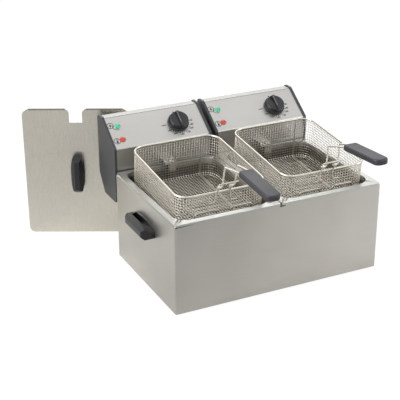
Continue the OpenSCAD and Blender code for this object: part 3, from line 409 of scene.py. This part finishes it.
def mouldedGrip(side):
    g, outline = grip, []
    for cornerX, y, radius, first in ((1, 0, g["wireEnd"], 0), (-1, 0, g["wireEnd"], 90),
                                      (-1, -g["length"], g["outerEnd"], 180), (1, -g["length"], g["outerEnd"], 270)):
        inY = y - radius if y == 0 else y + radius
        for i in range(g["steps"] + 1):
            a = math.radians(first + 90 * i / g["steps"])
            outline.append((cornerX * (g["width"] / 2 - radius) + radius * math.cos(a), inY + radius * math.sin(a)))
    low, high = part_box(side + "_grip")
    place = Matrix.Translation((low + high) / 2) @ Matrix.Rotation(math.radians(g["turn"][side]), 4, "X")
    place = place @ Matrix.Translation(Vector((0, g["length"] / 2, 0)) * mm)
    n, half = len(outline), g["thick"] / 2
    vertices = [place @ (Vector((x, y, z)) * mm) for z in (-half, half) for x, y in outline]
    faces = [tuple(range(n, 2 * n)), tuple(reversed(range(n)))]
    faces += [(i, (i + 1) % n, n + (i + 1) % n, n + i) for i in range(n)]
    piece = meshObject(side + "_moulded_grip", vertices, faces, materials["grip"])
    piece.data.set_sharp_from_angle(angle=math.radians(g["sharpest"]))
    bevel = piece.modifiers.new("ease", "BEVEL")
    bevel.width, bevel.segments = g["edge"] * mm, 4
    bevel.limit_method, bevel.angle_limit = "ANGLE", math.radians(g["sharpest"])
    piece.modifiers.new("normals", "WEIGHTED_NORMAL").keep_sharp = True
    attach(piece, side + "_handle")
    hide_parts(side + "_grip")


for side in sides:
    mouldedGrip(side)
print("grips")


# A tube of so many sides along the points, carried without twist from ring to ring.
def addTube(vertices, faces, points, radius, count, closed=False):
    start, last, normal = len(vertices), len(points), None
    for i, p in enumerate(points):
        before = points[i - 1] if i or closed else p
        after = points[(i + 1) % last] if i + 1 < last or closed else p
        along = (after - before).normalized()
        if normal is None:
            normal = along.orthogonal()
        normal = (normal - along * normal.dot(along)).normalized()
        across = along.cross(normal)
        for k in range(count):
            a = 2 * math.pi * k / count
            vertices.append(p + (normal * math.cos(a) + across * math.sin(a)) * radius)
    for i in range(last if closed else last - 1):
        a, b = start + i * count, start + (i + 1) % last * count
        faces += [(a + k, a + (k + 1) % count, b + (k + 1) % count, b + k) for k in range(count)]
    if not closed:
        faces.append(tuple(start + k for k in reversed(range(count))))
        faces.append(tuple(start + (last - 1) * count + k for k in range(count)))


def roundedLoop(halfX, halfY, radius, z, steps):
    points = []
    for cornerX, cornerY, first in ((1, -1, -90), (1, 1, 0), (-1, 1, 90), (-1, -1, 180)):
        for i in range(steps + 1):
            a = math.radians(first + 90 * i / steps)
            points.append(Vector((cornerX * (halfX - radius) + radius * math.cos(a),
                                  cornerY * (halfY - radius) + radius * math.sin(a), z)))
    return points


# Welded wire mesh, which stands for the basket's skin with large openings.
# Lengths are in millimetres, and the basket's place is from the casing's middle.
basket = {
    "width": 224, "length": 271.3, "depth": 105.5, "corner": 33, "bend": 9, "pitch": 6.8, "wire": 1.3, "sides": 5,
    "outFromMiddle": 135, "front": -143.5, "rim": 273, "tilt": 5.6,
}


def weldedMesh(side):
    b = basket
    halfX, halfY, depth, bend, radius = b["width"] / 2, b["length"] / 2, b["depth"], b["bend"], b["wire"] / 2
    straightX, straightY = halfX - b["corner"], halfY - b["corner"]
    vertices, faces = [], []

    def put(points, closed=False):
        addTube(vertices, faces, [p + Vector((0, halfY, 0)) for p in points], radius, b["sides"], closed)

    def downTheWall(outX, outY, inX, inY):
        # from the rim down the wall and round its foot, to where the floor starts
        points = [Vector((outX, outY, 0)), Vector((outX, outY, bend - depth))]
        for i in range(1, 5):
            a = math.radians(90 * i / 4)
            inward = bend * (1 - math.cos(a))
            points.append(Vector((outX + inX * inward, outY + inY * inward, bend - depth - bend * math.sin(a))))
        return points

    acrossX, acrossY = round(2 * straightX / b["pitch"]), round(2 * straightY / b["pitch"])
    for i in range(acrossX + 1):
        x = (2 * i / acrossX - 1) * straightX
        put(downTheWall(x, -halfY, 0, 1) + downTheWall(x, halfY, 0, -1)[::-1])
    for i in range(acrossY + 1):
        y = (2 * i / acrossY - 1) * straightY
        put(downTheWall(-halfX, y, 1, 0) + downTheWall(halfX, y, -1, 0)[::-1])
    roundCorner = round(b["corner"] * math.pi / 2 / b["pitch"])
    for cornerX in (-1, 1):
        for cornerY in (-1, 1):
            for i in range(1, roundCorner):
                a = math.radians(90 * i / roundCorner)
                outX, outY = math.cos(a) * cornerX, math.sin(a) * cornerY
                put(downTheWall(cornerX * straightX + outX * b["corner"], cornerY * straightY + outY * b["corner"],
                                -outX, -outY))
    # the floor's wires beyond the straight walls end at the rounded corners
    inner = b["corner"] - bend
    for sign in (-1, 1):
        for i in range(1, math.ceil(inner / b["pitch"])):
            out = i * b["pitch"]
            reach = math.sqrt(inner ** 2 - out ** 2)
            x, y = sign * (straightX + out), sign * (straightY + out)
            put([Vector((-straightX - reach, y, -depth)), Vector((straightX + reach, y, -depth))])
            put([Vector((x, -straightY - reach, -depth)), Vector((x, straightY + reach, -depth))])
    rows = round((depth - bend) / b["pitch"])
    for i in range(1, rows + 1):
        put(roundedLoop(halfX, halfY, b["corner"], -i * (depth - bend) / rows, 6), True)
    for turn in (36, 72):
        inward = bend * (1 - math.cos(math.radians(turn)))
        put(roundedLoop(halfX - inward, halfY - inward, b["corner"] - inward,
                        bend - depth - bend * math.sin(math.radians(turn)), 6), True)
    place = Matrix.Translation(middle + Vector((sides[side] * b["outFromMiddle"], b["front"], b["rim"])) * mm)
    place = place @ Matrix.Rotation(math.radians(b["tilt"]), 4, "X")
    piece = meshObject(side + "_welded_mesh", [place @ (v * mm) for v in vertices], faces, materials["mesh"])
    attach(piece, side + "_basket")
    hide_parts(side + "_basket_mesh")


for side in sides:
    weldedMesh(side)
print("welded mesh baskets")


# The sloping panels: each starts at its head's left side and lies on the top of the cover's front.
panel = {
    "start": {"left": -270, "right": 6}, "front": 173, "foot": 284, "slope": math.degrees(math.atan2(57, 80)),
    "inset": 2.5, "film": 0.08,
}


def onPanel(side, x, s, height=0):
    place = Matrix.Translation(middle + Vector((panel["start"][side] + x, panel["front"], panel["foot"])) * mm)
    return place @ Matrix.Rotation(math.radians(panel["slope"]), 4, "X") @ Matrix.Translation(
        Vector((0, s, height - panel["inset"])) * mm)


def printed(name, body, place, shapes, material):
    # flat outlines, given in millimetres, as a thin film
    film, vertices, faces = panel["film"], [], []
    for outline in shapes:
        start, n = len(vertices), len(outline)
        vertices += [Vector((u, v, 0)) for u, v in outline] + [Vector((u, v, film)) for u, v in outline]
        faces.append(tuple(start + n + i for i in range(n)))
        faces.append(tuple(start + i for i in reversed(range(n))))
        faces += [(start + i, start + (i + 1) % n, start + n + (i + 1) % n, start + n + i) for i in range(n)]
    piece = meshObject(name, [place @ (v * mm) for v in vertices], faces, materials[material], False)
    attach(piece, body)


def bar(x0, y0, x1, y1, width):
    along = Vector((x1 - x0, y1 - y0)).normalized() * width / 2
    return [(x0 + along.y, y0 - along.x), (x1 + along.y, y1 - along.x), (x1 - along.y, y1 + along.x),
            (x0 - along.y, y0 + along.x)]


def disc(x, y, radius, count=20):
    return [(x + radius * math.cos(2 * math.pi * i / count), y + radius * math.sin(2 * math.pi * i / count))
            for i in range(count)]


def ring(x, y, radius, width, first=0, last=360):
    quads, count = [], 28
    turns = [math.radians(first + (last - first) * i / count) for i in range(count + 1)]
    for a, b in zip(turns, turns[1:]):
        quads.append([(x + r * math.cos(t), y + r * math.sin(t))
                      for r, t in ((radius, a), (radius, b), (radius - width, b), (radius - width, a))])
    return quads


# A ring with a flash beside the power lamp, and a ring with a thermometer beside the heat lamp
signs = {"powerAt": (14.3, 71), "heatAt": (16.6, 24), "radius": 8.8, "line": 1.5,
         "lampAt": (32, 67.5), "lampRing": (-3.5, -1.5, 10.2), "lampArc": (150, 300)}
flash = [(1.8, 6.4), (-4.2, -1.2), (-0.8, -1.2), (-2.0, -6.4), (4.2, 1.4), (0.8, 1.4)]
thermometer = [disc(0, -3.2, 2.8), bar(0, -3.2, 0, 5.8, 2.2), bar(1.8, 1, 4.6, 1, 1), bar(1.8, 4, 4.6, 4, 1)]
for side in sides:
    printed(side + "_power_sign", side + "_head", onPanel(side, *signs["powerAt"]),
            ring(0, 0, signs["radius"], signs["line"]) + [flash], "inkAndShade")
    printed(side + "_heat_sign", side + "_head", onPanel(side, *signs["heatAt"]),
            ring(0, 0, signs["radius"], signs["line"]) + thermometer, "inkAndShade")
    printed(side + "_lamp_ring", side + "_head", onPanel(side, *signs["lampAt"]),
            ring(*signs["lampRing"], signs["line"], *signs["lampArc"]), "inkAndShade")

# The dial's numbers, each with its angle from the panel's long edge, a stroke for off and a dot on top
dial = {
    "at": (189, 48), "out": 36, "numberHeight": 5.4, "strokeWeight": 0.2, "sizeToHeight": 1.35,
    "off": (-178, 33, 46, 2.0), "ticks": (-24, -156, 11, 28.5, 32, 1.7),
    "dot": (92, 33, 2.0), "numbers": {60: 2, 80: -18, 100: -38, 120: -62, 140: -93, 160: -122, 180: -148},
    "highlightLine": (-1.2, -12, 21), "highlightLineWidth": 1.2, "highlightLineHeight": 21.2,
}


def around(angle, out):
    return out * math.cos(math.radians(angle)), out * math.sin(math.radians(angle))


def stroke(angle, near, far, width):
    return bar(*around(angle, near), *around(angle, far), width)


def printedNumber(name, body, place, value, height):
    letters = bpy.data.curves.new(name, "FONT")
    letters.body, letters.size = str(value), height * dial["sizeToHeight"] * mm
    letters.align_x, letters.align_y = "CENTER", "CENTER"
    letters.offset, letters.extrude = dial["strokeWeight"] * mm, panel["film"] / 2 * mm
    letters.resolution_u = 3
    holder = bpy.data.objects.new(name + "_letters", letters)
    mesh = bpy.data.meshes.new_from_object(holder)
    bpy.data.objects.remove(holder)
    mesh.transform(place @ Matrix.Translation(Vector((0, 0, panel["film"] / 2)) * mm))
    mesh.materials.clear()
    mesh.materials.append(materials["inkAndShade"])
    piece = bpy.data.objects.new(name, mesh)
    bpy.context.scene.collection.objects.link(piece)
    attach(piece, body)


for side in sides:
    dialX, dialY = dial["at"]
    for value, angle in dial["numbers"].items():
        outX, outY = around(angle, dial["out"])
        printedNumber(side + "_number_" + str(value), side + "_head", onPanel(side, dialX + outX, dialY + outY),
                      value, dial["numberHeight"])
    marks = [stroke(*dial["off"])]
    first, last, apart, near, far, width = dial["ticks"]
    for angle in range(last, first + 1, apart):
        marks.append(stroke(angle, near, far, width))
    angle, out, radius = dial["dot"]
    marks.append(disc(*around(angle, out), radius))
    printed(side + "_dial_marks", side + "_head", onPanel(side, *dial["at"]), marks, "inkAndShade")
    # the pale line along the pointer bar is a painted highlight for its lit edge
    x, low, high = dial["highlightLine"]
    printed(side + "_pointer_painted_highlight", side + "_dial", onPanel(side, *dial["at"], dial["highlightLineHeight"]),
            [bar(x, low, x, high, dial["highlightLineWidth"])], "pale")


def upright(x, y):
    # a flat face towards the front, measured from the rim
    return Matrix.Translation(Vector((x, y, rimHeight))) @ Matrix.Rotation(math.pi / 2, 4, "X")


# Each tank's lip stands a little off the casing at its front corner; the shade in that gap is painted as a dark
# wedge.
lipGapShades = {
    "left": [(-269.5, -7.6), (-262, -6.6), (-225, -5.4), (-225, -4.9), (-269.5, -4.6)],
    "right": [(-5, -7.8), (9, -7.2), (10, -5.6), (1, -4.8), (-5, -3.8)],
}
for side, outline in lipGapShades.items():
    printed(side + "_lip_gap_painted_shade", "casing", upright(middle.x, casingLow.y), [outline], "inkAndShade")

# A dark film down the left of each stem's face, painted shade for the channel's shaded side. Heights are from the
# rim.
paintedShadeStrip = {"fromLeft": (0.4, 12), "top": 8, "foot": -118, "ease": 3}
for side in sides:
    stemLow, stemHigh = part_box(side + "_element_stem")
    (x0, x1), top, foot, ease = paintedShadeStrip["fromLeft"], paintedShadeStrip["top"], paintedShadeStrip["foot"], paintedShadeStrip["ease"]
    printed(side + "_painted_shade_strip", bodyOf(side + "_element_stem"), upright(stemLow.x, stemLow.y),
            [[(x0, foot + ease), (x1 - ease, foot), (x1, foot + ease), (x1, top - ease), (x1 - ease, top),
              (x0, top)]], "paintedShade")
print("printed marks")


# The paper greys along a line on the floor, which the metal mirrors as a soft gradient.
paper = {"shade": 0.20, "glow": 0.87, "line": (0.9, 1, 0), "from": -0.65, "to": 0.05, "darkest": 0.46,
         "palest": 0.88, "reach": 6}


def studioFloor():
    # seen by the camera it is white with a soft shadow; to the object it is plain pale paper
    material, tree = newMaterial("paperBackdrop")
    path = addNode(tree, "ShaderNodeLightPath")
    shaded = addNode(tree, "ShaderNodeBsdfDiffuse", {"Color": grey(paper["shade"])})
    white = addNode(tree, "ShaderNodeEmission", {"Color": grey(1), "Strength": paper["glow"]})
    seen = addNode(tree, "ShaderNodeAddShader", links={0: shaded.outputs[0], 1: white.outputs[0]})
    place = addNode(tree, "ShaderNodeTexCoord")
    along = addNode(tree, "ShaderNodeVectorMath", {"operation": "DOT_PRODUCT", 1: paper["line"]},
                    {0: place.outputs["Object"]})
    greyer = addNode(tree, "ShaderNodeMapRange", {
        "From Min": paper["from"], "From Max": paper["to"], "To Min": paper["darkest"], "To Max": paper["palest"]},
        {"Value": along.outputs["Value"]})
    plain = addNode(tree, "ShaderNodeBsdfDiffuse", links={"Color": greyer.outputs[0]})
    finishMaterial(tree, addNode(tree, "ShaderNodeMixShader", links={
        0: path.outputs["Is Camera Ray"], 1: plain.outputs[0], 2: seen.outputs[0]}))
    corners = [Vector((x, y, 0)) * paper["reach"] for x, y in ((-1, -1), (1, -1), (1, 1), (-1, 1))]
    meshObject("studio_floor", corners, [(0, 1, 2, 3)], material, False)


# The sky's strength as light on the object, and as the eye, metal and glass see it
skyStrength = {"lights": 0.5, "seen": 1.0}


def studioWorld():
    world = bpy.data.worlds.new("studio")
    bpy.context.scene.world = world
    world.use_nodes = True
    tree = world.node_tree
    tree.nodes.clear()
    path = addNode(tree, "ShaderNodeLightPath")
    seen = addNode(tree, "ShaderNodeMath", {"operation": "MAXIMUM"},
                   {0: path.outputs["Is Camera Ray"], 1: path.outputs["Is Glossy Ray"]})
    clear = addNode(tree, "ShaderNodeMath", {"operation": "MAXIMUM"},
                    {0: seen.outputs[0], 1: path.outputs["Is Transmission Ray"]})
    level = addNode(tree, "ShaderNodeMapRange", {"To Min": skyStrength["lights"], "To Max": skyStrength["seen"]},
                    {"Value": clear.outputs[0]})
    sky = addNode(tree, "ShaderNodeBackground", {"Color": grey(1)}, {"Strength": level.outputs[0]})
    tree.links.new(sky.outputs[0], addNode(tree, "ShaderNodeOutputWorld").inputs[0])


# Places and sizes in metres. All of them point at the object's middle.
lampsAim = Vector((0, 0, 0.15))
lamps = {
    "window": {"at": (-2.5, -0.35, 1.5), "size": 1.7, "watts": 76},
    "fill": {"at": (2.2, -1.4, 1.2), "size": 1.5, "watts": 24},
    "back": {"at": (1.0, 2.2, 2.0), "size": 1.6, "watts": 18},
}


def studioLamps():
    for name, lamp in lamps.items():
        light = bpy.data.lights.new(name, "AREA")
        light.size, light.energy = lamp["size"], lamp["watts"]
        holder = bpy.data.objects.new(name, light)
        holder.location = lamp["at"]
        holder.rotation_mode = "QUATERNION"
        holder.rotation_quaternion = (lampsAim - holder.location).to_track_quat("-Z", "Y")
        bpy.context.scene.collection.objects.link(holder)


# The camera's place is in metres from the casing's middle on the floor.
camera = {"at": (-1.1411, -2.0746, 1.2207), "right": (0.8975, -0.4411, -0.0031), "up": (0.1821, 0.3641, 0.9134),
          "lens": 95.96, "sensor": 36, "reach": 50}


def placeCamera():
    data = bpy.data.cameras.new("camera")
    data.lens, data.sensor_width, data.clip_end = camera["lens"], camera["sensor"], camera["reach"]
    holder = bpy.data.objects.new("camera", data)
    right, up = Vector(camera["right"]).normalized(), Vector(camera["up"]).normalized()
    back = right.cross(up).normalized()
    turn = Matrix((right, back.cross(right), back)).transposed().to_4x4()
    holder.matrix_world = Matrix.Translation(middle + Vector(camera["at"])) @ turn
    bpy.context.scene.collection.objects.link(holder)
    bpy.context.scene.camera = holder


studioFloor()
studioWorld()
studioLamps()
placeCamera()
bpy.context.scene.view_settings.view_transform = "Standard"
print("stage, lamps and camera")
